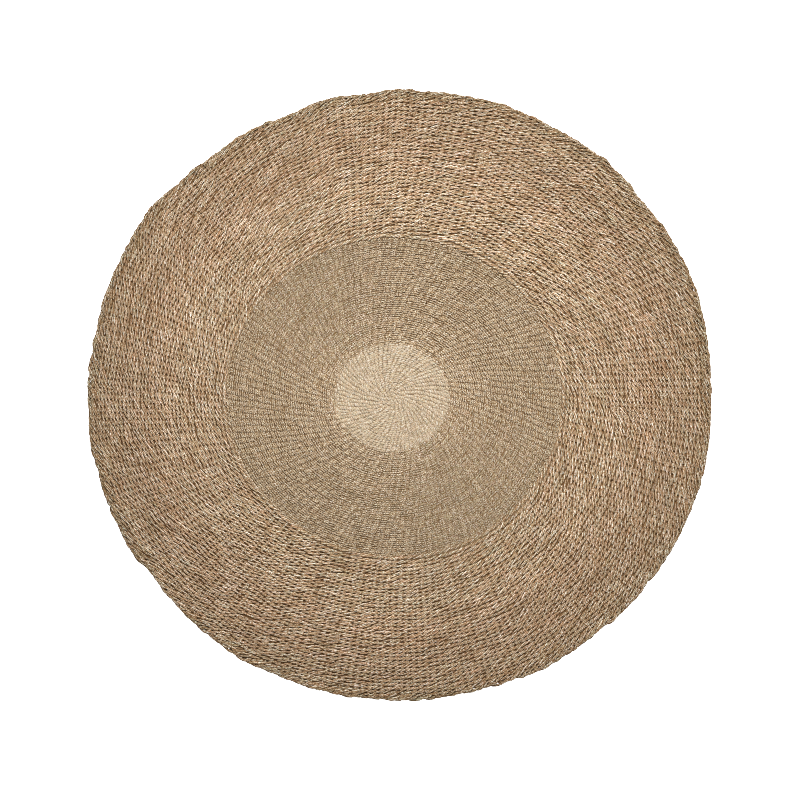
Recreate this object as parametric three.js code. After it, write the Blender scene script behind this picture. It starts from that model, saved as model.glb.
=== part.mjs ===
// Round seagrass rug, lying flat on the floor.
//
// The rug is one piece of weft-twined seagrass, worked anticlockwise in one spiral from the
// middle: a fine field, then coarse rows that stand up as ribs, then a rim where the ends of the
// spokes are turned back. The last row ends in a small step of the outline, and the outline is
// hand made, so it is a little oval and uneven.
//
// Millimetres, +Z up, floor at z = 0. The origin lies under the middle of the rug's box.

import * as THREE from 'three';

// Driving sizes

const MEAN_RADIUS = 1000;
const FIELD_THICKNESS = 10;

const COARSE_ROWS = 36;
const COARSE_PITCH = 12;
const COARSE_CREST = 14.5;
const COARSE_VALLEY = 9.5;

const RIM_WIDTH = 32;
const RIM_CREST = 15;

// Where the last row ends, and how far round its end tapers

const ROW_END_DEG = 214.5;
const ROW_END_TAPER_DEG = 3;

// Steps round the rug: fine along the uneven rim, coarser on the ribs

const RIM_STEPS = 180;
const RIB_STEPS = 60;

// The fine field is an oval. Its middle lies beside the middle of the outline.

const FIELD_OVAL = { x: -21, y: -8, halfX: 543, halfY: 518 };

// Slow waves of the outline: how many go once round, how far they reach, where one peaks

const OUTLINE_WAVES = [
  { timesRound: 1, reach: 3.9, peakDeg: 303 },
  { timesRound: 2, reach: 11.7, peakDeg: 6 },
  { timesRound: 3, reach: 2.4, peakDeg: 51 },
  { timesRound: 4, reach: 3.5, peakDeg: 60 },
];

// Single bumps (out) and dents (in) of the hand-finished edge

const OUTLINE_BUMPS = [
  { atDeg: 1, reach: -6, spreadDeg: 7.5 },
  { atDeg: 23, reach: 6, spreadDeg: 8 },
  { atDeg: 39, reach: -6, spreadDeg: 2.5 },
  { atDeg: 49, reach: 7, spreadDeg: 1.5 },
  { atDeg: 61, reach: -4, spreadDeg: 6.5 },
  { atDeg: 70, reach: 6, spreadDeg: 1.5 },
  { atDeg: 91, reach: 6, spreadDeg: 2.5 },
  { atDeg: 104, reach: 8, spreadDeg: 3.5 },
  { atDeg: 112, reach: -6, spreadDeg: 3.5 },
  { atDeg: 129, reach: -5, spreadDeg: 7 },
  { atDeg: 144, reach: 10, spreadDeg: 4 },
  { atDeg: 168, reach: -5, spreadDeg: 6 },
  { atDeg: 189, reach: 5, spreadDeg: 2.5 },
  { atDeg: 217, reach: -3, spreadDeg: 7 },
  { atDeg: 239, reach: 5, spreadDeg: 4 },
  { atDeg: 288, reach: -4, spreadDeg: 8 },
  { atDeg: 295, reach: 6, spreadDeg: 7 },
  { atDeg: 308, reach: -4, spreadDeg: 4.5 },
];

// The rim in section, from the floor round the edge to its crest

const RIM_SECTION = [
  { inset: 10, height: 0 },
  { inset: 2, height: 2.5 },
  { inset: 0, height: 7 },
  { inset: 4.5, height: 12.5 },
  { inset: 16, height: RIM_CREST },
];

// Outline and oval. A turn runs from 0 to 1, anticlockwise from where the last row ends.

function turnToDeg(turn) {
  return ROW_END_DEG + 360 * turn;
}

// The spiral carries the outline out by one row in a turn, and back where the row ends.

function spiralGrowth(turn) {
  const taper = ROW_END_TAPER_DEG / 360;
  const end = THREE.MathUtils.smoothstep(turn, 1 - taper, 1);
  return COARSE_PITCH * (turn * (1 - end) - 0.5);
}

function waveReach(wave, deg) {
  const phase = wave.timesRound * (deg - wave.peakDeg);
  return wave.reach * Math.cos(THREE.MathUtils.degToRad(phase));
}

function bumpReach(bump, deg) {
  const away = THREE.MathUtils.euclideanModulo(deg - bump.atDeg + 180, 360) - 180;
  return bump.reach * Math.exp(-((away / bump.spreadDeg) ** 2));
}

function outlineRadius(turn) {
  const deg = turnToDeg(turn);
  let radius = MEAN_RADIUS + spiralGrowth(turn);
  for (const wave of OUTLINE_WAVES) {
    radius += waveReach(wave, deg);
  }
  for (const bump of OUTLINE_BUMPS) {
    radius += bumpReach(bump, deg);
  }
  return radius;
}

function outlinePoint(turn, inset, height) {
  const angle = THREE.MathUtils.degToRad(turnToDeg(turn));
  const radius = outlineRadius(turn) - inset;
  return new THREE.Vector3(radius * Math.cos(angle), radius * Math.sin(angle), height);
}

function fieldPoint(turn, height) {
  const angle = THREE.MathUtils.degToRad(turnToDeg(turn));
  const x = FIELD_OVAL.x + FIELD_OVAL.halfX * Math.cos(angle);
  const y = FIELD_OVAL.y + FIELD_OVAL.halfY * Math.sin(angle);
  return new THREE.Vector3(x, y, height);
}

// Lines of points, each one once round the rug

function roundLine(steps, pointAt) {
  return Array.from({ length: steps }, (_, step) => pointAt(step / steps));
}

function rimLines() {
  return RIM_SECTION.map(({ inset, height }) =>
    roundLine(RIM_STEPS, (turn) => outlinePoint(turn, inset, height)));
}

function fieldEdge() {
  return roundLine(RIB_STEPS, (turn) => fieldPoint(turn, FIELD_THICKNESS));
}

// The lines of the spiral are valleys and crests by turns, half a row apart. Each one moves out
// by a whole row on its way round.

function coarseLine(line) {
  const height = line % 2 === 0 ? COARSE_VALLEY : COARSE_CREST;
  return roundLine(RIB_STEPS, (turn) => {
    const share = (line / 2 + turn) / (COARSE_ROWS + turn);
    return fieldPoint(turn, height).lerp(outlinePoint(turn, RIM_WIDTH, height), share);
  });
}

// The rug's skin, stitched together from lines of corners

class Skin {
  constructor() {
    this.positions = [];
    this.corners = [];
  }

  addPoint(point) {
    this.positions.push(point.x, point.y, point.z);
    return this.positions.length / 3 - 1;
  }

  addLine(points) {
    return points.map((point) => this.addPoint(point));
  }

  // Faces that shrink to a line, where rows start and end, are left out

  addTriangle(a, b, c) {
    if (a !== b && b !== c && c !== a) {
      this.corners.push(a, b, c);
    }
  }

  addQuad(a, b, c, d) {
    this.addTriangle(a, b, c);
    this.addTriangle(a, c, d);
  }

  addFan(loop, centre) {
    loop.forEach((corner, step) => {
      this.addTriangle(corner, loop[(step + 1) % loop.length], centre);
    });
  }

  // Joins two closed lines of which the outer one has as many points as the inner, or a multiple

  addBand(outer, inner) {
    const ratio = outer.length / inner.length;
    const middle = Math.floor(ratio / 2);
    inner.forEach((corner, step) => {
      const nextCorner = inner[(step + 1) % inner.length];
      for (let part = 0; part < ratio; part += 1) {
        const here = outer[step * ratio + part];
        const next = outer[(step * ratio + part + 1) % outer.length];
        this.addTriangle(here, next, part <= middle ? corner : nextCorner);
        if (part === middle) {
          this.addTriangle(next, nextCorner, corner);
        }
      }
    });
  }

  geometry() {
    const geometry = new THREE.BufferGeometry();
    geometry.setAttribute('position', new THREE.Float32BufferAttribute(this.positions, 3));
    geometry.setIndex(this.corners);
    geometry.computeVertexNormals();
    return geometry;
  }
}

function addRim(skin) {
  const rim = rimLines().map((points) => skin.addLine(points));
  for (let index = 0; index + 1 < rim.length; index += 1) {
    skin.addBand(rim[index], rim[index + 1]);
  }
  return { foot: rim[0], crest: rim[rim.length - 1] };
}

// After its last point, a line of the spiral goes on as the line one whole row further out, and
// the outermost row ends there.

function addSpiral(skin) {
  const lastLine = 2 * COARSE_ROWS;
  const spiral = [];
  for (let line = 0; line <= lastLine; line += 1) {
    spiral.push(skin.addLine(coarseLine(line)));
  }
  const cornerAt = (line, step) =>
    (step < RIB_STEPS ? spiral[line][step] : spiral[Math.min(line + 2, lastLine)][0]);

  for (let line = 0; line < lastLine; line += 1) {
    for (let step = 0; step < RIB_STEPS; step += 1) {
      skin.addQuad(
        cornerAt(line + 1, step),
        cornerAt(line + 1, step + 1),
        cornerAt(line, step + 1),
        cornerAt(line, step),
      );
    }
  }
  return { cornerAt, outermost: spiral[lastLine] };
}

// The first row leaves the field's oval, and a wedge of field follows it once round, up to the
// blunt end where the row began.

function addField(skin, cornerAt) {
  const start = cornerAt(0, 0);
  const edge = [start, ...skin.addLine(fieldEdge().slice(1))];
  for (let step = 0; step < RIB_STEPS; step += 1) {
    const nextEdge = edge[(step + 1) % RIB_STEPS];
    skin.addQuad(cornerAt(0, step), cornerAt(0, step + 1), nextEdge, edge[step]);
  }
  skin.addTriangle(start, cornerAt(2, 0), cornerAt(1, 0));

  const middle = new THREE.Vector3(FIELD_OVAL.x, FIELD_OVAL.y, FIELD_THICKNESS);
  skin.addFan(edge, skin.addPoint(middle));
}

function rugGeometry() {
  const skin = new Skin();
  const rim = addRim(skin);
  const spiral = addSpiral(skin);
  skin.addBand(rim.crest, spiral.outermost);
  addField(skin, spiral.cornerAt);
  const underside = skin.addPoint(new THREE.Vector3(0, 0, 0));
  skin.addFan([...rim.foot].reverse(), underside);
  return skin.geometry();
}

// The rug is moved so that the origin lies under the middle of its box.

function makeRug() {
  const material = new THREE.MeshStandardMaterial({
    color: new THREE.Color(0.37, 0.26, 0.17),
    roughness: 0.85,
    metalness: 0,
  });
  const rug = new THREE.Mesh(rugGeometry(), material);
  rug.name = 'seagrass_rug';
  const box = new THREE.Box3().setFromObject(rug);
  const middle = box.getCenter(new THREE.Vector3());
  rug.position.set(-middle.x, -middle.y, -box.min.z);
  return rug;
}

const group = new THREE.Group();
group.add(makeRug());

export default group;
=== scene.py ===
# Round seagrass rug, seen from straight above.
#
# The rug is woven here stitch by stitch: spokes run out from the middle, and a twined row winds
# round them in one anticlockwise spiral. Each stitch is the part of a two-ply cord that shows as
# it passes over a spoke. Metres, +Z up, floor at z = 0.

import math
from dataclasses import dataclass

import bpy
import numpy as np
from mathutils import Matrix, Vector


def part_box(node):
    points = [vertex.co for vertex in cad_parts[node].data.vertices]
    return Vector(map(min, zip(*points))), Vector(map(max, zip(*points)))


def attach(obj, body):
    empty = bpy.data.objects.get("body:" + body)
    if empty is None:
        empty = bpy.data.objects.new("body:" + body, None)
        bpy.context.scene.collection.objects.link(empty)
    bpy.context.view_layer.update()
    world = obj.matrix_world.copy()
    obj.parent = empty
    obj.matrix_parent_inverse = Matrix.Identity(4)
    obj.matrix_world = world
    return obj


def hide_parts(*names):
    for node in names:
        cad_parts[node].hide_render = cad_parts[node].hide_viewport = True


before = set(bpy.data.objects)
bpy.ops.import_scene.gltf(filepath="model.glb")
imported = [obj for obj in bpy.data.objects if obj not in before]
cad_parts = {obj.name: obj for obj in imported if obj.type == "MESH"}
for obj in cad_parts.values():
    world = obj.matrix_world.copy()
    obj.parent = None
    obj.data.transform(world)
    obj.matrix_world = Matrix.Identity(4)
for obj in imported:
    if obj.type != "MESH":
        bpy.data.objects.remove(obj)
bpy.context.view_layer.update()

MM = 0.001
SEED = 41
RUG_NODE = "seagrass_rug"

# Camera: straight above, with the photograph's frame of 800 pixels and the rug's place in it

MEAN_RADIUS = 1000 * MM
FRAME_PX = 800
RUG_DIAMETER_PX = 617.4
METRES_PER_PX = 2 * MEAN_RADIUS / RUG_DIAMETER_PX
RUG_CENTRE_PX = (399.5, 394.8)
LENS_MM = 85
SENSOR_MM = 36
CAMERA_REACH = 100


def make_camera():
    camera = bpy.data.cameras.new("camera")
    camera.lens = LENS_MM
    camera.sensor_width = SENSOR_MM
    camera.clip_end = CAMERA_REACH
    seen_width = FRAME_PX * METRES_PER_PX
    distance = seen_width * LENS_MM / SENSOR_MM
    obj = bpy.data.objects.new("camera", camera)
    bpy.context.scene.collection.objects.link(obj)
    right = (FRAME_PX / 2 - RUG_CENTRE_PX[0]) * METRES_PER_PX
    down = (FRAME_PX / 2 - RUG_CENTRE_PX[1]) * METRES_PER_PX
    obj.location = (right, -down, distance)
    bpy.context.scene.camera = obj


make_camera()

# The rug's sizes, the same as the solid's

COARSE_PITCH = 12 * MM
RIM_WIDTH = 32 * MM
ROW_END_DEG = 214.5
ROW_END_TAPER = 3 / 360
OUTLINE_POINTS = 721

OUTLINE_WAVES = [
    # times round, reach in mm, where one peaks in degrees
    (1, 3.9, 303),
    (2, 11.7, 6),
    (3, 2.4, 51),
    (4, 3.5, 60),
]

OUTLINE_BUMPS = [
    # at degrees, reach in mm, spread in degrees
    (1, -6, 7.5),
    (23, 6, 8),
    (39, -6, 2.5),
    (49, 7, 1.5),
    (61, -4, 6.5),
    (70, 6, 1.5),
    (91, 6, 2.5),
    (104, 8, 3.5),
    (112, -6, 3.5),
    (129, -5, 7),
    (144, 10, 4),
    (168, -5, 6),
    (189, 5, 2.5),
    (217, -3, 7),
    (239, 5, 4),
    (288, -4, 8),
    (295, 6, 7),
    (308, -4, 4.5),
]

# The borders of the pale middle and of the fine field, which is the solid's, as ovals in the
# outline's own frame. A row leaves its oval by its own width in the first turn, so the ovals that
# the rows follow lie half a row inside these borders.

HALF_FINE_ROW_MM = 3.5
HALF_COARSE_ROW_MM = 6


def oval_inside(x, y, half_width, half_height, inset):
    """An oval from its border in mm: middle x, middle y, half width and half height in metres."""
    return np.array([x, y, half_width - inset, half_height - inset]) * MM


PALE_OVAL = oval_inside(-28.8, -9.2, 184.3, 174.3, HALF_FINE_ROW_MM)
FIELD_OVAL = oval_inside(-21, -8, 543, 518, HALF_COARSE_ROW_MM)

# Rows from the middle outwards

PALE_ROWS = 26
FINE_ROWS = 51
COARSE_ROWS = 36
FIELD_START = PALE_ROWS
COARSE_START = PALE_ROWS + FINE_ROWS
RIM_START = COARSE_START + COARSE_ROWS


def turn_to_angle(turn):
    """Turns run anticlockwise from where the last row ends."""
    return np.radians(ROW_END_DEG) + 2 * np.pi * turn


def smoothstep(low, high, value):
    t = np.clip((value - low) / (high - low), 0, 1)
    return t * t * (3 - 2 * t)


def outline_radius(turn, tapered=True):
    """The outline grows by one row in a turn, and tapers back where the last row ends. The rows
    inside it go on without the taper."""
    within = np.mod(turn, 1)
    deg = ROW_END_DEG + 360 * within
    end = smoothstep(1 - ROW_END_TAPER, 1, within) * tapered
    radius = MEAN_RADIUS + COARSE_PITCH * (within * (1 - end) - 0.5)
    for times, reach, peak in OUTLINE_WAVES:
        radius = radius + reach * MM * np.cos(np.radians(times * (deg - peak)))
    for at, reach, spread in OUTLINE_BUMPS:
        away = np.mod(deg - at + 180, 360) - 180
        radius = radius + reach * MM * np.exp(-((away / spread) ** 2))
    return radius


def outline_offset():
    """How far the outline's own middle lies from the middle of its box, where the origin is."""
    turn = np.linspace(0, 1, OUTLINE_POINTS)
    angle = turn_to_angle(turn)
    radius = outline_radius(turn)
    x = radius * np.cos(angle)
    y = radius * np.sin(angle)
    box_middle = np.array([(x.min() + x.max()) / 2, (y.min() + y.max()) / 2])
    low, high = (np.array(corner[:2]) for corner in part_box(RUG_NODE))
    return (low + high) / 2 - box_middle


OFFSET = outline_offset()


def outline_point(turn, inset, tapered=True):
    angle = turn_to_angle(turn)
    radius = outline_radius(turn, tapered) - inset
    return np.stack([radius * np.cos(angle), radius * np.sin(angle)], -1) + OFFSET


def oval_point(oval, turn):
    angle = turn_to_angle(turn)
    x = oval[0] + oval[2] * np.cos(angle)
    y = oval[1] + oval[3] * np.sin(angle)
    return np.stack([x, y], -1) + OFFSET


def row_point(row, turn):
    """Where a row coordinate, counted from the middle, lies on a turn: one smooth loft from the
    middle over the two ovals to the rim."""
    row, turn = np.broadcast_arrays(row, turn)
    within = np.mod(turn, 1)
    middle = np.broadcast_to(PALE_OVAL[:2] + OFFSET, (*row.shape, 2))
    pale = oval_point(PALE_OVAL, within)
    field = oval_point(FIELD_OVAL, within)
    rim = outline_point(within, RIM_WIDTH, tapered=False)

    def between(inner, outer, share):
        return inner + (outer - inner) * share[..., None]

    in_pale = between(middle, pale, row / PALE_ROWS)
    in_field = between(pale, field, (row - FIELD_START) / FINE_ROWS)
    in_coarse = between(field, rim, (row - COARSE_START) / (COARSE_ROWS + within))
    result = np.where((row < FIELD_START)[..., None], in_pale, in_field)
    return np.where((row > COARSE_START)[..., None], in_coarse, result)


# The cords of each part of the weave

@dataclass
class Cord:
    """A cord's surface, in metres. Its plies turn (plies[0] times the distance in spokes) less
    (plies[1] times the way round), and its fibres are fray_size long and wide."""

    spacing: float
    girth: float
    plies: tuple
    fray_size: tuple


@dataclass
class Weave(Cord):
    """How one kind of stitch is made, in metres. Spacing is from spoke to spoke and pitch from
    row to row. Reach is in spokes and slant in rows a spoke: a strand crosses half its row
    between one spoke and the next, so strands lie side by side there, and it dives between the
    rows at both ends. Stations are shares of the reach. Jitter is the unevenness of the stitches,
    curve how late a strand dives, and shade_least how dark its painted shade gets in the gaps."""

    pitch: float
    half_width: float
    half_height: float
    crest: float
    dive: float
    slant: float
    reach: float
    sides: int
    stations: list
    jitter: float
    curve: float
    shade_least: float


PALE = Weave(
    spacing=12.6 * MM,
    pitch=6.97 * MM,
    half_width=4.6 * MM,
    half_height=2.2 * MM,
    girth=21 * MM,
    crest=10 * MM,
    dive=2.9 * MM,
    slant=0.35,
    reach=0.56,
    sides=8,
    stations=[-1, -0.55, 0, 0.55, 1],
    jitter=0.18,
    curve=1.6,
    shade_least=0.72,
    plies=(0.6, 3),
    fray_size=(3.6 * MM, 2.4 * MM),
)
FINE = Weave(
    spacing=19.4 * MM,
    pitch=6.84 * MM,
    half_width=3.6 * MM,
    half_height=2.5 * MM,
    girth=19.2 * MM,
    crest=10 * MM,
    dive=2.5 * MM,
    slant=0.4,
    reach=0.60,
    sides=6,
    stations=[-1, -0.45, 0.45, 1],
    jitter=0.19,
    curve=2.4,
    shade_least=0.58,
    plies=(2.4, 4),
    fray_size=(3.4 * MM, 2.6 * MM),
)
COARSE = Weave(
    spacing=20.3 * MM,
    pitch=12 * MM,
    half_width=4.1 * MM,
    half_height=3.3 * MM,
    girth=23.2 * MM,
    crest=14.6 * MM,
    dive=5.0 * MM,
    slant=0.47,
    reach=0.94,
    sides=6,
    stations=[-1, -0.7, 0, 0.7, 1],
    jitter=0.2,
    curve=3.4,
    shade_least=0.48,
    plies=(0.6, 4),
    fray_size=(6 * MM, 2.4 * MM),
)
RIM = Weave(
    spacing=20.3 * MM,
    pitch=11.5 * MM,
    half_width=4.1 * MM,
    half_height=3.4 * MM,
    girth=23.6 * MM,
    crest=14.8 * MM,
    dive=5.0 * MM,
    slant=0.52,
    reach=0.94,
    sides=6,
    stations=[-1, -0.7, 0, 0.7, 1],
    jitter=0.26,
    curve=3.4,
    shade_least=0.48,
    plies=(0.6, 4),
    fray_size=(6 * MM, 2.4 * MM),
)


def weave_of(row):
    if row < FIELD_START:
        return PALE
    if row < COARSE_START:
        return FINE
    if row < RIM_START:
        return COARSE
    return RIM


# The spokes: they lean clockwise on their way out, in each row by a share of its pitch, and new
# ones are put in as the rug grows, mostly in the widest gaps. A stitch's place is its row and its
# turn in one number, so the rows follow each other round.

LEAN_BY_ROW = ([0, 50, COARSE_START, RIM_START], [-0.30, -0.28, -0.14, -0.06])
FIRST_SPOKES = 6
SPOKE_EASE = 0.25
SPOKE_WANDER = 0.035
GAP_WEIGHTS = (0.6, 1.0)
LENGTH_POINTS = 181


def row_length(row):
    turn = np.linspace(0, 1, LENGTH_POINTS)
    points = row_point(np.full_like(turn, row), turn)
    return np.linalg.norm(np.diff(points, axis=0), axis=1).sum()


def add_spoke(spokes, rng):
    gaps = np.diff(np.append(spokes, spokes[0] + 1))
    pick = np.argmax(gaps * rng.uniform(*GAP_WEIGHTS, len(gaps)))
    return np.insert(spokes, pick + 1, spokes[pick] + gaps[pick] / 2)


def drop_spoke(spokes):
    gaps = np.diff(np.append(spokes, spokes[0] + 1))
    return np.delete(spokes, np.argmin(gaps))


def make_places(rng):
    """The place of every stitch along the spiral, from the middle out."""
    spokes = np.arange(FIRST_SPOKES) / FIRST_SPOKES
    rows = []
    while not rows or spokes[0] < RIM_START:
        row = spokes[0]
        length = row_length(row + 1)
        wanted = max(FIRST_SPOKES, round(length / weave_of(row + 0.5).spacing))
        while len(spokes) < wanted:
            spokes = add_spoke(spokes, rng)
        while len(spokes) > wanted:
            spokes = drop_spoke(spokes)
        rows.append(spokes)
        before = np.append(spokes[-1] - 1, spokes[:-1])
        after = np.append(spokes[1:], spokes[0] + 1)
        eased = spokes + SPOKE_EASE * ((before + after) / 2 - spokes)
        lean = np.interp(row, *LEAN_BY_ROW) * weave_of(row + 0.5).pitch / length
        wander = SPOKE_WANDER / wanted * rng.normal(0, 1, wanted)
        spokes = eased + 1 + lean + wander
    return np.concatenate(rows)


# Colours: every stitch takes its own from its place in the rug. Dry grass keeps much the same
# step from red to green to blue whether it is light or dark, counted on the screen's scale, so a
# colour is a green level and two steps.

def linear(screen):
    value = np.clip(np.asarray(screen) / 255, 0, 1)
    return np.where(value <= 0.04045, value / 12.92, ((value + 0.055) / 1.055) ** 2.4)


def smooth_noise(rng, rows, columns):
    """Even noise over rows and a closed turn, as a function that can be asked anywhere."""
    grid = rng.uniform(-1, 1, (rows, columns))

    def ask(row, turn):
        y = np.clip(row, 0, rows - 1.001)
        x = np.mod(turn, 1) * columns
        y0 = np.floor(y).astype(int)
        x0 = np.floor(x).astype(int)
        fy = smoothstep(0, 1, y - y0)
        fx = smoothstep(0, 1, x - x0)
        a = grid[y0, x0 % columns] * (1 - fx) + grid[y0, (x0 + 1) % columns] * fx
        b = grid[y0 + 1, x0 % columns] * (1 - fx) + grid[y0 + 1, (x0 + 1) % columns] * fx
        return a * (1 - fy) + b * fy

    return ask


DYES = [
    # row, green level, step up to red, step down to blue, spread from stitch to stitch
    (0, 179, 11, 19, 0.5),
    (25.9, 179, 11, 19, 0.5),
    (26, 189, 12, 21, 0.35),
    (50, 175, 12, 21, 0.35),
    (69, 175, 12, 21, 0.35),
    (76.9, 169, 12, 21, 0.35),
    (77, 192, 11, 18, 0.85),
    (91, 195, 12, 18, 0.85),
    (97, 187, 14.5, 18, 0.85),
    (104, 178, 14, 18, 0.85),
    (109, 178, 12.5, 18, 0.85),
    (112.9, 177, 12, 18, 0.85),
    (113, 178, 11, 18, 0.9),
    (116, 154, 8, 18, 0.9),
]
DYE_ROWS, DYE_GREEN, DYE_RED_STEP, DYE_BLUE_STEP, DYE_SPREAD = np.transpose(DYES)

# The levels are those of lit grass. Its own colour is darker.

OWN_COLOUR = 0.75
LEVEL_LIMITS = (12, 250)

# Unevenness of the grass: cells from the middle out and round the rug, and how many of them pass
# in a row

STRAND_CELLS = (140, 46)
STREAK_CELLS = (140, 120)
BAND_CELLS = (40, 9)
BANDS_A_ROW = 0.35
PATCH_CELLS = (24, 13)
PATCHES_A_ROW = 0.2

# What each kind of it, and each single stitch's own, adds to the green level and to the two steps

STRAND_LEVEL, STREAK_LEVEL, BAND_LEVEL, PATCH_LEVEL, STITCH_LEVEL = 3, 4, 2, 2, 5
STRAND_RED, BAND_RED, STITCH_RED = 1.5, 0.8, 2
STITCH_BLUE = 1.5


class Dye:
    """Colours stitches by their place."""

    def __init__(self, rng):
        self.rng = rng
        self.strands = smooth_noise(rng, *STRAND_CELLS)
        self.streaks = smooth_noise(rng, *STREAK_CELLS)
        self.bands = smooth_noise(rng, *BAND_CELLS)
        self.patches = smooth_noise(rng, *PATCH_CELLS)

    def colour(self, place):
        rng = self.rng
        row = np.floor(place)
        turn = np.mod(place, 1)
        strand = self.strands(row, turn)
        streak = self.streaks(row, turn)
        band = self.bands(place * BANDS_A_ROW, turn)
        patch = self.patches(place * PATCHES_A_ROW, turn)
        count = len(place)
        spread = np.interp(place, DYE_ROWS, DYE_SPREAD)
        level = (STRAND_LEVEL * strand + STREAK_LEVEL * streak + BAND_LEVEL * band
                 + PATCH_LEVEL * patch + STITCH_LEVEL * rng.normal(0, 1, count))
        green = np.interp(place, DYE_ROWS, DYE_GREEN) + spread * level
        redness = STRAND_RED * strand + BAND_RED * band + STITCH_RED * rng.normal(0, 1, count)
        red_step = np.interp(place, DYE_ROWS, DYE_RED_STEP) + spread * redness
        blueness = STITCH_BLUE * rng.normal(0, 1, count)
        blue_step = np.interp(place, DYE_ROWS, DYE_BLUE_STEP) + blueness
        screen = np.stack([green + red_step, green, green - blue_step], -1)
        return OWN_COLOUR * linear(np.clip(screen, *LEVEL_LIMITS))


# Painted shade: towards the gaps the colour of the grass is made darker and browner,
# where less light reaches it.

SHADE_POWERS = np.array([1.0, 1.5, 2.2])


def shade(height, low, high, least):
    """A factor of painted shade for points at these heights: 1 at high and above, least at low."""
    share = least + (1 - least) * smoothstep(low, high, height)
    return share[..., None] ** SHADE_POWERS


# Stitches as closed tubes, all of a piece's in one mesh

def tube_faces(count, stations, sides):
    base = np.arange(count)[:, None, None] * stations * sides
    station = np.arange(stations - 1)[None, :, None] * sides
    side = np.arange(sides)[None, None, :]
    following = (side + 1) % sides
    a = base + station + side
    b = base + station + following
    quads = np.stack([a, a + sides, b + sides, b], -1).reshape(-1, 4)
    start = base[:, 0] + np.arange(sides)[None]
    end = start + (stations - 1) * sides
    return quads, np.concatenate([start, end[:, ::-1]])


# The section of a cord has two lobes, its plies, which turn along it by this many radians a spoke

PLY_LOBE = 0.12
TWIST_A_SPOKE = 1.9

# How far below the crest a cord keeps its full colour before its painted shade begins, and how
# much of the cord's UV the stitches spread over, so that no two look alike

LIT_DEPTH = 2.5 * MM
CORD_UV_SPAN = 400


def tube_points(weave, centres, width, height, twist):
    """Points round centre lines of (stitches, stations, 3)."""
    along = np.gradient(centres, axis=1)
    along /= np.linalg.norm(along, axis=-1, keepdims=True)
    across = np.cross(along, [0, 0, 1])
    across /= np.linalg.norm(across, axis=-1, keepdims=True)
    up = np.cross(across, along)
    phi = (np.arange(weave.sides) + 0.5) / weave.sides * 2 * np.pi
    lobes = 1 + PLY_LOBE * np.cos(2 * (phi[None, None] - twist[..., None]))
    return (
        centres[:, :, None]
        + across[:, :, None] * (width[..., None] * lobes * np.cos(phi))[..., None]
        + up[:, :, None] * (height[..., None] * lobes * np.sin(phi))[..., None]
    )


def add_cord_uv(mesh, corner_uv):
    layer = mesh.uv_layers.new(name="cord")
    layer.data.foreach_set("uv", corner_uv.astype(np.float32).ravel())


# The dye colour attribute holds the grass's own colours with painted shade in them, and on the
# base's top the painted shade of the gaps.
def add_dye_and_painted_shade(mesh, colours):
    layer = mesh.color_attributes.new(name="dye", type="FLOAT_COLOR", domain="POINT")
    rgba = np.concatenate([colours, np.ones((len(colours), 1))], 1)
    layer.data.foreach_set("color", rgba.astype(np.float32).ravel())


def link_mesh(name, mesh):
    obj = bpy.data.objects.new(name, mesh)
    bpy.context.scene.collection.objects.link(obj)
    return obj


def mesh_from(name, points, quads, caps, colours, along, around):
    """A mesh of quads and end caps, with a colour for each point and a cord UV for each corner."""
    mesh = bpy.data.meshes.new(name)
    loops = np.concatenate([quads.ravel(), caps.ravel()])
    totals = np.concatenate([np.full(len(quads), 4), np.full(len(caps), caps.shape[1])])
    starts = np.concatenate([[0], np.cumsum(totals)[:-1]])
    mesh.vertices.add(len(points))
    mesh.vertices.foreach_set("co", points.astype(np.float32).ravel())
    mesh.loops.add(len(loops))
    mesh.loops.foreach_set("vertex_index", loops.astype(np.int32))
    mesh.polygons.add(len(totals))
    mesh.polygons.foreach_set("loop_start", starts.astype(np.int32))
    mesh.polygons.foreach_set("use_smooth", np.ones(len(totals), bool))
    mesh.update(calc_edges=True)

    low, high = (np.array(corner[:2]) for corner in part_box(RUG_NODE))
    plan_uv = (points[:, :2] - low) / (high - low)
    plan = mesh.uv_layers.new(name="OFBake")
    plan.data.foreach_set("uv", plan_uv[loops].astype(np.float32).ravel())
    add_cord_uv(mesh, np.stack([along, around], -1)[loops])
    add_dye_and_painted_shade(mesh, colours)
    return link_mesh(name, mesh)


def tube_mesh(name, weave, centres, width, height, colour, low, s, rng):
    """A piece of tubes: one centre line, colour and pair of sizes for each stitch."""
    count, stations = centres.shape[:2]
    twist = rng.uniform(0, np.pi, count)[:, None] + TWIST_A_SPOKE * s
    ring = tube_points(weave, centres, width, height, twist)
    quads, caps = tube_faces(count, stations, weave.sides)
    # painted shade: each point's colour is darkened by its depth below the crest
    dark = shade(ring[..., 2], low, weave.crest - LIT_DEPTH, weave.shade_least)
    colours = (colour[:, None, None] * dark).reshape(-1, 3)
    offset = rng.uniform(0, CORD_UV_SPAN, count)
    along = np.broadcast_to((offset[:, None] + s)[..., None], ring.shape[:3]).ravel()
    around = np.broadcast_to(np.arange(weave.sides) / weave.sides, ring.shape[:3]).ravel()
    return mesh_from(name, ring.reshape(-1, 3), quads, caps, colours, along, around)


# How far each measure of a stitch varies, for a jitter of 1

REACH_JITTER = 0.35
SLANT_JITTER = 0.7
SWAY_JITTER = 0.35
RISE_JITTER = 3 * MM
FAT_JITTER = 0.8
STITCH_TAPER = 0.25


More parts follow.
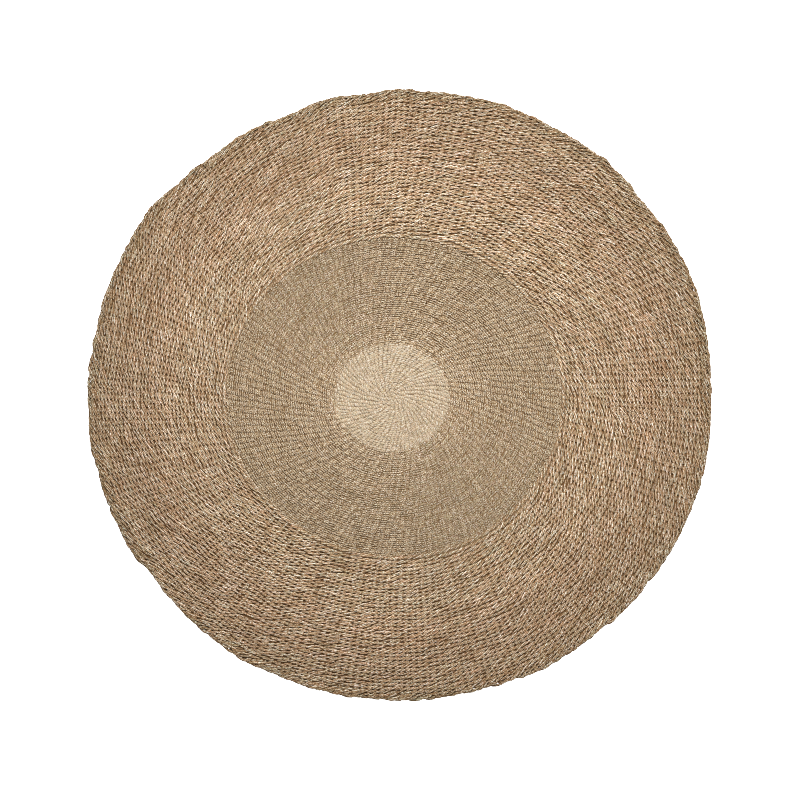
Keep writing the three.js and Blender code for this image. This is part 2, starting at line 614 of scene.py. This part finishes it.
def stitch_lines(weave, places, gap_before, gap_after, rng):
    """For each stitch along a row: its steps and offsets at each station, and its sizes."""
    count = len(places)
    jitter = weave.jitter
    reach = weave.reach * (1 + REACH_JITTER * jitter * rng.normal(0, 1, count))
    share = np.array(weave.stations)[None]
    s = share * reach[:, None]
    step = s * np.where(s < 0, gap_before[:, None], gap_after[:, None])
    slant = weave.slant * (1 + SLANT_JITTER * jitter * rng.normal(0, 1, count))
    sway = SWAY_JITTER * jitter * rng.normal(0, 1, count)
    across = sway[:, None] - slant[:, None] * s
    rise = RISE_JITTER * jitter * rng.normal(0, 1, count)
    z = weave.crest - weave.half_height - weave.dive * np.abs(share) ** weave.curve + rise[:, None]
    fat = 1 + FAT_JITTER * jitter * rng.normal(0, 1, count)
    taper = 1 - STITCH_TAPER * np.abs(share) ** 3
    width = weave.half_width * fat[:, None] * taper
    height = weave.half_height * fat[:, None] * taper
    return s, step, across, z, width, height


# The rows sway a little in and out together, and the first coarse row laps over the last fine one.
# Both are in rows. A strand gets thinner or fatter with the room between its rows.

ROW_SWAY = 0.16
SWAY_CELLS = (40, 60)
SWAYS_A_ROW = 0.25
BORDER_OVERLAP = 0.15
WIDTH_LIMITS = (0.3, 1.8)
sway_noise = smooth_noise(np.random.default_rng(SEED + 1), *SWAY_CELLS)


def make_rows(name, places, gap_before, gap_after, dye, rng):
    """One piece of whole rows of the spiral."""
    weave = weave_of(places.mean())
    s, step, across, z, width, height = stitch_lines(weave, places, gap_before, gap_after, rng)
    turn = places[:, None] + step
    row = turn + 0.5 + across + ROW_SWAY * sway_noise(turn * SWAYS_A_ROW, turn)
    row = row - BORDER_OVERLAP * (np.floor(places) == COARSE_START)[:, None]
    plan = row_point(row, turn)
    pitch = np.linalg.norm(row_point(row + 0.5, turn) - row_point(row - 0.5, turn), axis=-1)
    width = width * np.clip(pitch / weave.pitch, *WIDTH_LIMITS)
    centres = np.concatenate([plan, z[..., None]], -1)
    colour = dye.colour(places)
    low = weave.crest - weave.dive - weave.half_height
    return tube_mesh(name, weave, centres, width, height, colour, low, s, rng)


# The rim: two rows that follow the outline, and the turned-back ends of the spokes over the edge

RIM_ROW_INSETS = [26 * MM, 15.5 * MM]


def make_rim_rows(name, turns, dye, rng):
    weave = RIM
    gap_before = np.mod(turns - np.roll(turns, 1), 1)
    gap_after = np.roll(gap_before, -1)
    parts = []
    for inset in RIM_ROW_INSETS:
        s, step, across, z, width, height = stitch_lines(weave, turns, gap_before, gap_after, rng)
        turn = turns[:, None] + step
        plan = outline_point(turn, inset - across * weave.pitch)
        centres = np.concatenate([plan, z[..., None]], -1)
        parts.append((centres, width, height, dye.colour(RIM_START + turns), s))
    centres, width, height, colour, s = (np.concatenate(part) for part in zip(*parts))
    low = weave.crest - weave.dive - weave.half_height
    return tube_mesh(name, weave, centres, width, height, colour, low, s, rng)


TURNING_PATH = [
    # spokes along the edge, inset in mm, height in mm, thickness
    (0.95, 15.0, 10.6, 0.70),
    (0.55, 9.0, 12.0, 1.00),
    (0.15, 5.4, 11.0, 1.05),
    (-0.25, 4.3, 8.4, 1.05),
    (-0.65, 4.6, 5.7, 1.00),
    (-1.05, 5.8, 3.9, 0.90),
    (-1.42, 9.5, 2.6, 0.45),
]
TURNING_HALF_WIDTH = 4.9 * MM
TURNING_HALF_HEIGHT = 3.2 * MM
TURNING_UNEVEN = 0.12
TURNING_SWAY_MM = 1.5
TURNING_RISE_MM = 0.6
TURNING_DYE_ROW = RIM_START + 1.5

# The height where the painted shade on the turned-back ends is darkest, and how far they stay
# above the floor

TURNING_LOW = 1.5 * MM
FLOOR_GAP = 0.2 * MM


def make_turnings(name, turns, dye, rng):
    weave = RIM
    path = np.array(TURNING_PATH)
    count = len(turns)
    gap = np.mod(np.roll(turns, -1) - turns, 1)
    stretch = 1 + TURNING_UNEVEN * rng.normal(0, 1, count)
    s = path[None, :, 0] * stretch[:, None]
    turn = turns[:, None] + s * gap[:, None]
    out = TURNING_SWAY_MM * rng.normal(0, 1, count)
    inset = (path[None, :, 1] - out[:, None]) * MM
    rise = TURNING_RISE_MM * rng.normal(0, 1, count)
    z = np.broadcast_to(path[None, :, 2] + rise[:, None], s.shape) * MM
    plan = outline_point(turn, inset)
    fat = 1 + TURNING_UNEVEN * rng.normal(0, 1, count)
    width = TURNING_HALF_WIDTH * fat[:, None] * path[None, :, 3]
    height = TURNING_HALF_HEIGHT * fat[:, None] * path[None, :, 3]
    z = np.maximum(z, (1 + PLY_LOBE) * height + FLOOR_GAP)
    centres = np.concatenate([plan, z[..., None]], -1)
    colour = dye.colour(TURNING_DYE_ROW + turns)
    return tube_mesh(name, weave, centres, width, height, colour, TURNING_LOW, s, rng)


# Materials

def node(tree, kind, **inputs):
    made = tree.nodes.new(kind)
    for key, value in inputs.items():
        made.inputs[key.replace("_", " ")].default_value = value
    return made


def math_node(tree, operation, *values):
    """A math node. A value is a number or another node's output."""
    made = tree.nodes.new("ShaderNodeMath")
    made.operation = operation
    for socket, value in zip(made.inputs, values):
        if isinstance(value, (int, float)):
            socket.default_value = value
        else:
            tree.links.new(value, socket)
    return made.outputs[0]


def vector_node(tree, operation, *values):
    """A vector math node of other nodes' outputs."""
    made = tree.nodes.new("ShaderNodeVectorMath")
    made.operation = operation
    for socket, value in zip(made.inputs, values):
        tree.links.new(value, socket)
    return made


def remap(tree, value, low, high, to_low, to_high, smooth=False):
    made = tree.nodes.new("ShaderNodeMapRange")
    if smooth:
        made.interpolation_type = "SMOOTHSTEP"
    for key, number in (("From Min", low), ("From Max", high), ("To Min", to_low),
                        ("To Max", to_high)):
        made.inputs[key].default_value = number
    tree.links.new(value, made.inputs["Value"])
    return made.outputs[0]


SHADE_STOPS = [0.0, 0.25, 0.5, 0.75, 1.0]
SHADE_TOP = 1.45
SHADE_LEAST = 0.02


def shade_ramp(tree, value):
    """Turns a brightness factor of 0 to SHADE_TOP into a colour factor that is browner when
    dark, half as big."""
    scaled = math_node(tree, "DIVIDE", value, SHADE_TOP)
    ramp = tree.nodes.new("ShaderNodeValToRGB")
    elements = ramp.color_ramp.elements
    while len(elements) < len(SHADE_STOPS):
        elements.new(0.5)
    for element, stop in zip(elements, SHADE_STOPS):
        element.position = stop
        factor = max(stop * SHADE_TOP, SHADE_LEAST) ** SHADE_POWERS / 2
        element.color = (*np.clip(factor, 0, 1), 1)
    tree.links.new(scaled, ramp.inputs["Fac"])
    return ramp.outputs["Color"]


GRASS_ROUGHNESS = 0.75
GRASS_SPECULAR = 0.12
GROOVE_COSINES = (1.0, 0.1)
FIBRE_NOISE = {"Scale": 1.0, "Detail": 2.0, "Roughness": 0.6}
FIBRE_LIMITS = (0.32, 0.60)
HUE_LIMITS = (0.3, 0.7)
FIBRE_RELIEF = 0.35
BUMP_STRENGTH = 0.8


def seagrass_material(name, cord, relief, spread, fray, blush, crease):
    """Dry grass cord: two plies with a line of painted shade between them, each of its own tone,
    and frayed fibres, light and dark. Relief is in metres. Spread is how far the tones of plies
    differ, fray those of fibres, blush their hues, and crease is how dark the painted shade in the
    line is.
    Plies and fibres get much further darker than lighter."""
    material = bpy.data.materials.new(name)
    material.use_nodes = True
    tree = material.node_tree
    links = tree.links
    shader = tree.nodes["Principled BSDF"]
    shader.inputs["Roughness"].default_value = GRASS_ROUGHNESS
    shader.inputs["Specular IOR Level"].default_value = GRASS_SPECULAR

    # the dye attribute: own colour of the grass with painted shade in it
    dye = tree.nodes.new("ShaderNodeAttribute")
    dye.attribute_name = "dye"
    cord_uv = tree.nodes.new("ShaderNodeUVMap")
    cord_uv.uv_map = "cord"
    split = tree.nodes.new("ShaderNodeSeparateXYZ")
    links.new(cord_uv.outputs["UV"], split.inputs["Vector"])
    along = math_node(tree, "MULTIPLY", split.outputs["X"], cord.plies[0])
    around = math_node(tree, "MULTIPLY", split.outputs["Y"], cord.plies[1])
    turning = math_node(tree, "SUBTRACT", along, around)
    cosine = math_node(tree, "COSINE", math_node(tree, "MULTIPLY", turning, 2 * math.pi))
    groove = remap(tree, cosine, *GROOVE_COSINES, 0, 1, smooth=True)

    ply = tree.nodes.new("ShaderNodeTexWhiteNoise")
    ply.noise_dimensions = "1D"
    links.new(math_node(tree, "FLOOR", turning), ply.inputs["W"])
    ply_tone = remap(tree, ply.outputs["Value"], 0, 1, 1 - spread, 1 + spread / 5)

    stretch = tree.nodes.new("ShaderNodeMapping")
    cells = (cord.spacing / cord.fray_size[0], cord.girth / cord.fray_size[1], 1)
    stretch.inputs["Scale"].default_value = cells
    links.new(cord_uv.outputs["UV"], stretch.inputs["Vector"])
    fibres = node(tree, "ShaderNodeTexNoise", **FIBRE_NOISE)
    links.new(stretch.outputs["Vector"], fibres.inputs["Vector"])
    fibre_tone = remap(tree, fibres.outputs["Fac"], *FIBRE_LIMITS, 1 - fray, 1 + fray / 8)
    # painted shade in the line between the plies
    groove_painted_shade = remap(tree, groove, 0, 1, crease, 1)
    grain = math_node(tree, "MULTIPLY", fibre_tone, groove_painted_shade)
    tone = math_node(tree, "MULTIPLY", ply_tone, grain)

    hues = tree.nodes.new("ShaderNodeSeparateColor")
    links.new(fibres.outputs["Color"], hues.inputs["Color"])
    hue = hues.outputs["Green"]
    redder = remap(tree, hue, *HUE_LIMITS, 1 - blush, 1 + blush)
    greener = remap(tree, hue, *HUE_LIMITS, 1 + blush / 3, 1 - blush / 3)
    tint = tree.nodes.new("ShaderNodeCombineXYZ")
    for socket, value in zip(tint.inputs, (redder, greener, greener)):
        links.new(value, socket)
    tinted = vector_node(tree, "MULTIPLY", dye.outputs["Color"], tint.outputs[0])
    shaded = vector_node(tree, "MULTIPLY", tinted.outputs[0], shade_ramp(tree, tone))
    doubled = vector_node(tree, "SCALE", shaded.outputs[0])
    doubled.inputs["Scale"].default_value = 2
    links.new(doubled.outputs[0], shader.inputs["Base Color"])

    height = math_node(tree, "MULTIPLY_ADD", fibres.outputs["Fac"], FIBRE_RELIEF, groove)
    bump = node(tree, "ShaderNodeBump", Strength=BUMP_STRENGTH, Distance=relief)
    links.new(height, bump.inputs["Height"])
    links.new(bump.outputs["Normal"], shader.inputs["Normal"])
    return material


# Base: the spokes and the hidden half of the cords, as one closed body under the stitches. Its
# underside is ribbed by the rows, one spiral again, and its top is painted dark, as the shade in
# the gaps.

BASE_STEPS = 180
NEXT_STEPS = [*range(1, BASE_STEPS), 0]
FIELD_TOP = 5 * MM
COARSE_TOP = 7.5 * MM
BORDER_TOP = 8.5 * MM
EDGE_INSET = 22 * MM
PAINTED_GAP_SHADES = {
    # linear colours of the painted shade in the gaps of each part
    "pale": (0.42, 0.31, 0.19),
    "fine": (0.17, 0.10, 0.046),
    "border": (0.17, 0.11, 0.062),
    "coarse": (0.105, 0.056, 0.024),
}

TOP_RING_ROWS = 3
BORDER_RINGS = [
    # painted gap shade, rows past the start of the coarse rows, height. The top is higher under
    # the first coarse row, which stands above the fine ones.
    ("coarse", 1.3, COARSE_TOP),
    ("border", 0.9, BORDER_TOP),
    ("border", 0, BORDER_TOP),
    ("fine", -0.5, FIELD_TOP),
]

UNDER_RIM_RINGS = [
    # inset and height in mm: two more rows under the rim, and one round the edge. Every second
    # ring gets the painted shade of the valleys.
    (26, 0),
    (20, 2.2),
    (14, 0),
    (9, 1.6),
    (7.5, 4),
    (11, 7),
]
UNDERSIDE_FINE_VALLEY = 1.0 * MM
UNDERSIDE_COARSE_VALLEY = 2.2 * MM
# Painted shade: the colour in the valleys between the rows of the underside is darkened by this
UNDERSIDE_VALLEY_SHADE = 0.5
UNDERSIDE_TONES = [
    # row, brightness
    (0, 1.5),
    (25.9, 1.5),
    (26, 1.0),
    (76.9, 1.0),
    (77, 0.9),
    (112, 0.85),
    (113, 0.85),
    (116, 0.8),
]
UNDERSIDE = Cord(
    spacing=20 * MM,
    girth=12 * MM,
    plies=(1, 1),
    fray_size=(5 * MM, 2.4 * MM),
)


def top_rings():
    """The rings of the upper side from the rim inwards: painted gap shade, row and height."""
    coarse = range(RIM_START, COARSE_START + 1, -TOP_RING_ROWS)
    fine = range(COARSE_START - TOP_RING_ROWS, FIELD_START, -TOP_RING_ROWS)
    pale = range(FIELD_START, 0, -TOP_RING_ROWS)
    return (
        [("coarse", row, COARSE_TOP) for row in coarse]
        + [(kind, COARSE_START + past, height) for kind, past, height in BORDER_RINGS]
        + [("fine", row, FIELD_TOP) for row in fine]
        + [("pale", row, FIELD_TOP) for row in pale]
    )


class BaseSkin:
    """Points, colours and faces of the base. The faces keep the cord UV of their corners."""

    def __init__(self):
        self.points = []
        self.colours = []
        self.faces = []
        self.cords = []

    def add_point(self, x, y, z, colour):
        self.points.append((x, y, z))
        self.colours.append(tuple(colour))
        return len(self.points) - 1

    def add_line(self, plan, height, colours):
        return [self.add_point(x, y, height, c) for (x, y), c in zip(plan, colours)]

    def add_face(self, corners, cords=None):
        """Corners that fall together are taken once, and a face that shrinks to a line is left
        out."""
        cords = cords or [(0, 0)] * len(corners)
        kept = []
        for corner, cord in zip(corners, cords):
            if corner not in [before for before, _ in kept]:
                kept.append((corner, cord))
        if len(kept) > 2:
            self.faces.append([corner for corner, _ in kept])
            self.cords.append([cord for _, cord in kept])

    def add_ring(self, low, high, row=0, stitches=0):
        """Faces between two closed lines of points, the second one further on over the edge."""
        for step, nxt in enumerate(NEXT_STEPS):
            here = stitches * step / BASE_STEPS
            then = stitches * (step + 1) / BASE_STEPS
            self.add_face([low[step], low[nxt], high[nxt], high[step]],
                          [(here, row), (then, row), (then, row + 0.5), (here, row + 0.5)])


def underside_colours(row, in_valley, dye):
    tone = np.interp(row, *np.transpose(UNDERSIDE_TONES))[:, None]
    # painted shade in the valleys
    shaded = UNDERSIDE_VALLEY_SHADE ** SHADE_POWERS if in_valley else 1
    return np.clip(dye.colour(row) * tone * shaded, 0, 1)


def underside_line(skin, line, turn, dye):
    """A line of the spiral, a valley and a crest by turns, half a row apart."""
    row = line / 2 + turn
    valley = UNDERSIDE_COARSE_VALLEY if line / 2 >= COARSE_START else UNDERSIDE_FINE_VALLEY
    in_valley = line % 2 == 0
    colours = underside_colours(row, in_valley, dye)
    return skin.add_line(row_point(row, turn), valley * in_valley, colours)


def add_underside(skin, turn, dye):
    """After its last point, a line goes on as the line one whole row further out, and so do the
    stitches counted along it."""
    last = 2 * RIM_START
    lines = [underside_line(skin, line, turn, dye) for line in range(last + 1)]

    def corner(line, step):
        return lines[line][step] if step < BASE_STEPS else lines[min(line + 2, last)][0]

    before = 0
    for line in range(last):
        length = row_length(line // 2 + 1)
        stitches = max(FIRST_SPOKES, round(length / UNDERSIDE.spacing))
        for step in range(BASE_STEPS):
            here = before + stitches * step / BASE_STEPS
            then = before + stitches * (step + 1) / BASE_STEPS
            skin.add_face(
                [corner(line, step), corner(line, step + 1), corner(line + 1, step + 1),
                 corner(line + 1, step)],
                [(here, line / 2), (then, line / 2), (then, (line + 1) / 2),
                 (here, (line + 1) / 2)])
        if line % 2 == 1:
            before += stitches + 1
    middle = corner(0, 0)
    for step in range(1, BASE_STEPS):
        skin.add_face([middle, corner(0, step + 1), corner(0, step)])
    skin.add_face([middle, corner(1, 0), corner(2, 0)])

    edge = lines[last]
    for index, (inset, height) in enumerate(UNDER_RIM_RINGS):
        colours = underside_colours(np.full_like(turn, RIM_START + 1), index % 2 == 1, dye)
        line = skin.add_line(outline_point(turn, inset * MM), height * MM, colours)
        skin.add_ring(edge, line, RIM_START + index / 2, stitches)
        edge = line
    return edge


def add_top(skin, edge, turn):
    """The upper side, from the edge inwards."""
    lines = [("coarse", outline_point(turn, EDGE_INSET), COARSE_TOP)]
    lines += [(kind, row_point(row + turn, turn), height) for kind, row, height in top_rings()]
    for kind, plan, height in lines:
        line = skin.add_line(plan, height, [PAINTED_GAP_SHADES[kind]] * BASE_STEPS)
        skin.add_ring(edge, line)
        edge = line
    middle = skin.add_point(*(PALE_OVAL[:2] + OFFSET), FIELD_TOP, PAINTED_GAP_SHADES["pale"])
    for step, nxt in enumerate(NEXT_STEPS):
        skin.add_face([edge[step], edge[nxt], middle])


def make_base(dye):
    turn = np.arange(BASE_STEPS) / BASE_STEPS
    skin = BaseSkin()
    edge = add_underside(skin, turn, dye)
    under_faces = len(skin.faces)
    add_top(skin, edge, turn)

    mesh = bpy.data.meshes.new("rug_base")
    mesh.from_pydata(skin.points, [], [face[::-1] for face in skin.faces])
    mesh.update()
    add_cord_uv(mesh, np.array([uv for face in skin.cords for uv in face[::-1]]))
    add_dye_and_painted_shade(mesh, np.array(skin.colours))
    mesh.materials.append(painted_gap_shade_material())
    mesh.materials.append(materials["underside_seagrass"])
    is_underside = np.arange(len(skin.faces)) < under_faces
    mesh.polygons.foreach_set("material_index", is_underside.astype(np.int32))
    mesh.polygons.foreach_set("use_smooth", is_underside)
    return link_mesh("rug_base", mesh)


def painted_gap_shade_material():
    """Painted shade: the dark of the gaps between the stitches, from the colours of the base's
    points.
    """
    material = bpy.data.materials.new("rug_base")
    material.use_nodes = True
    shader = material.node_tree.nodes["Principled BSDF"]
    shader.inputs["Roughness"].default_value = 1.0
    shader.inputs["Specular IOR Level"].default_value = 0.0
    shades = material.node_tree.nodes.new("ShaderNodeAttribute")
    shades.attribute_name = "dye"
    material.node_tree.links.new(shades.outputs["Color"], shader.inputs["Base Color"])
    return material


# The rug

rng = np.random.default_rng(SEED)
places = make_places(rng)
steps = np.diff(places)
gap_before = np.append(steps[0], steps)
gap_after = np.append(steps, steps[-1])
dye = Dye(rng)

ROW_PIECES = [
    # name, first row, first row of the next piece, material slot
    ("pale_middle", 0, FIELD_START, "pale_seagrass"),
    ("fine_rows_inner", FIELD_START, 56, "fine_seagrass"),
    ("fine_rows_outer", 56, COARSE_START, "fine_seagrass"),
    ("coarse_rows_1", COARSE_START, 87, "coarse_seagrass"),
    ("coarse_rows_2", 87, 96, "coarse_seagrass"),
    ("coarse_rows_3", 96, 105, "coarse_seagrass"),
    ("coarse_rows_4", 105, RIM_START, "coarse_seagrass"),
]

MATERIALS = [
    # name, cord, relief, spread, fray, blush, crease
    ("pale_seagrass", PALE, 0.4 * MM, 0.10, 0.52, 0.01, 0.86),
    ("fine_seagrass", FINE, 0.6 * MM, 0.14, 0.98, 0.02, 0.80),
    ("coarse_seagrass", COARSE, 1.0 * MM, 0.28, 0.82, 0.10, 0.55),
    ("rim_seagrass", RIM, 1.0 * MM, 0.34, 0.92, 0.08, 0.50),
    ("underside_seagrass", UNDERSIDE, 1.0 * MM, 0.30, 0.60, 0.06, 0.40),
]
materials = {name: seagrass_material(name, *look) for name, *look in MATERIALS}

# The stitches stop short of the end of the last row, by this much of its taper.

BARE_TAPER = 0.7
LAST_ROW_END = RIM_START - BARE_TAPER * ROW_END_TAPER


def finish_piece(piece, slot):
    piece.data.materials.append(materials[slot])
    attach(piece, "root")


for name, first, following, slot in ROW_PIECES:
    among = (places >= first) & (places < min(following, LAST_ROW_END))
    piece = make_rows(name, places[among], gap_before[among], gap_after[among], dye, rng)
    finish_piece(piece, slot)

rim_turns = np.sort(np.mod(places[(places >= RIM_START - 1) & (places < RIM_START)], 1))
finish_piece(make_rim_rows("rim_rows", rim_turns, dye, rng), "rim_seagrass")
finish_piece(make_turnings("rim_turnings", rim_turns, dye, rng), "rim_seagrass")

base = make_base(dye)
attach(base, "root")
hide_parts(RUG_NODE)

# Floor and light

FLOOR_SIZE = 14
FLOOR_COLOUR = (0.95, 0.95, 0.95, 1)
FLOOR_GLOW = 0.8
WHITE = (1, 1, 1, 1)
WORLD_STRENGTH = 1.0
KEY_SIZE = 2.5
KEY_WATTS = 560
KEY_PLACE = (0.6, 3.2, 4.6)


def make_floor():
    half = FLOOR_SIZE / 2
    mesh = bpy.data.meshes.new("floor")
    mesh.from_pydata([(-half, -half, 0), (half, -half, 0), (half, half, 0), (-half, half, 0)],
                     [], [(0, 1, 2, 3)])
    material = bpy.data.materials.new("floor")
    material.use_nodes = True
    shader = material.node_tree.nodes["Principled BSDF"]
    shader.inputs["Base Color"].default_value = FLOOR_COLOUR
    shader.inputs["Roughness"].default_value = 1.0
    shader.inputs["Emission Color"].default_value = WHITE
    shader.inputs["Emission Strength"].default_value = FLOOR_GLOW
    mesh.materials.append(material)
    return link_mesh("floor", mesh)


def make_world():
    world = bpy.data.worlds.new("studio")
    world.use_nodes = True
    background = world.node_tree.nodes["Background"]
    background.inputs["Color"].default_value = WHITE
    background.inputs["Strength"].default_value = WORLD_STRENGTH
    bpy.context.scene.world = world


def make_key_light():
    """A round light that points at the middle of the rug."""
    key = bpy.data.lights.new("key", type="AREA")
    key.shape = "DISK"
    key.size = KEY_SIZE
    key.energy = KEY_WATTS
    obj = bpy.data.objects.new("key", key)
    bpy.context.scene.collection.objects.link(obj)
    obj.location = KEY_PLACE
    x, y, z = -np.array(obj.location)
    tilt = math.atan2(math.hypot(x, y), -z)
    obj.rotation_euler = (tilt, 0, math.atan2(y, x) - math.pi / 2)


floor = make_floor()

make_world()
make_key_light()

# A narrow pixel filter and a denoiser without prefilter keep the fibres from being smeared.

bpy.context.scene.view_settings.view_transform = "Standard"
bpy.context.scene.cycles.filter_width = 0.85
bpy.context.scene.cycles.denoising_prefilter = "NONE"
